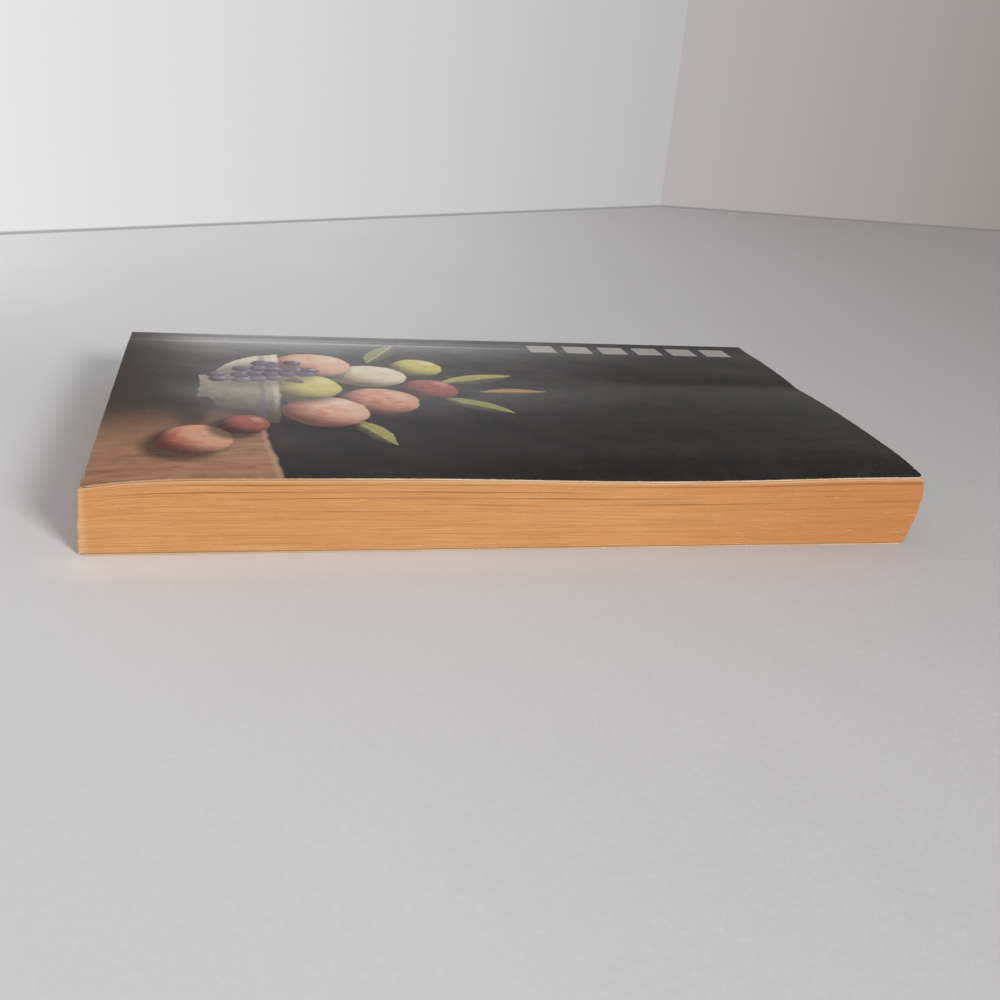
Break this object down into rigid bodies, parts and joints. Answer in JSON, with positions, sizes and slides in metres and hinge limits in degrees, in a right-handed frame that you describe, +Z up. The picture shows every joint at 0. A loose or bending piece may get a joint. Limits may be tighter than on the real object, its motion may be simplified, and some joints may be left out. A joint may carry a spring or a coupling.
{
  "type": "paperback book",
  "caption": "Worn pocket paperback lying shut, with a glued spine, tanned leaves and a printed card cover whose front and back open.",
  "frame": {"origin": "middle of the book's footprint, on the surface that its back cover lies on", "axes": "+X along the spine from the tail to the head, +Y from the fore-edge to the spine, +Z up through the front cover"},
  "size_m": [0.1765, 0.105, 0.017],
  "materials": {
    "leaf_paper": "rough cheap paper, tanned by age",
    "hot_glue": "dull aged glue",
    "cover_card": "printed card with a worn varnish"
  },
  "bodies": {
    "text_block": {"page_block": "leaf_paper", "spine_glue": "hot_glue", "spine_cover": "cover_card"},
    "front_panel": {"front_cover": "cover_card"},
    "back_panel": {"back_cover": "cover_card"}
  },
  "joints": [
    {"name": "front_cover_hinge", "type": "hinge", "parent": "text_block", "child": "front_panel", "pos_m": [0, 0.0464, 0.0155], "axis": [-1, 0, 0], "range_deg": [0, 180]},
    {"name": "back_cover_hinge", "type": "hinge", "parent": "text_block", "child": "back_panel", "pos_m": [0, 0.0464, -0.0002], "axis": [1, 0, 0], "range_deg": [0, 180]}
  ]
}
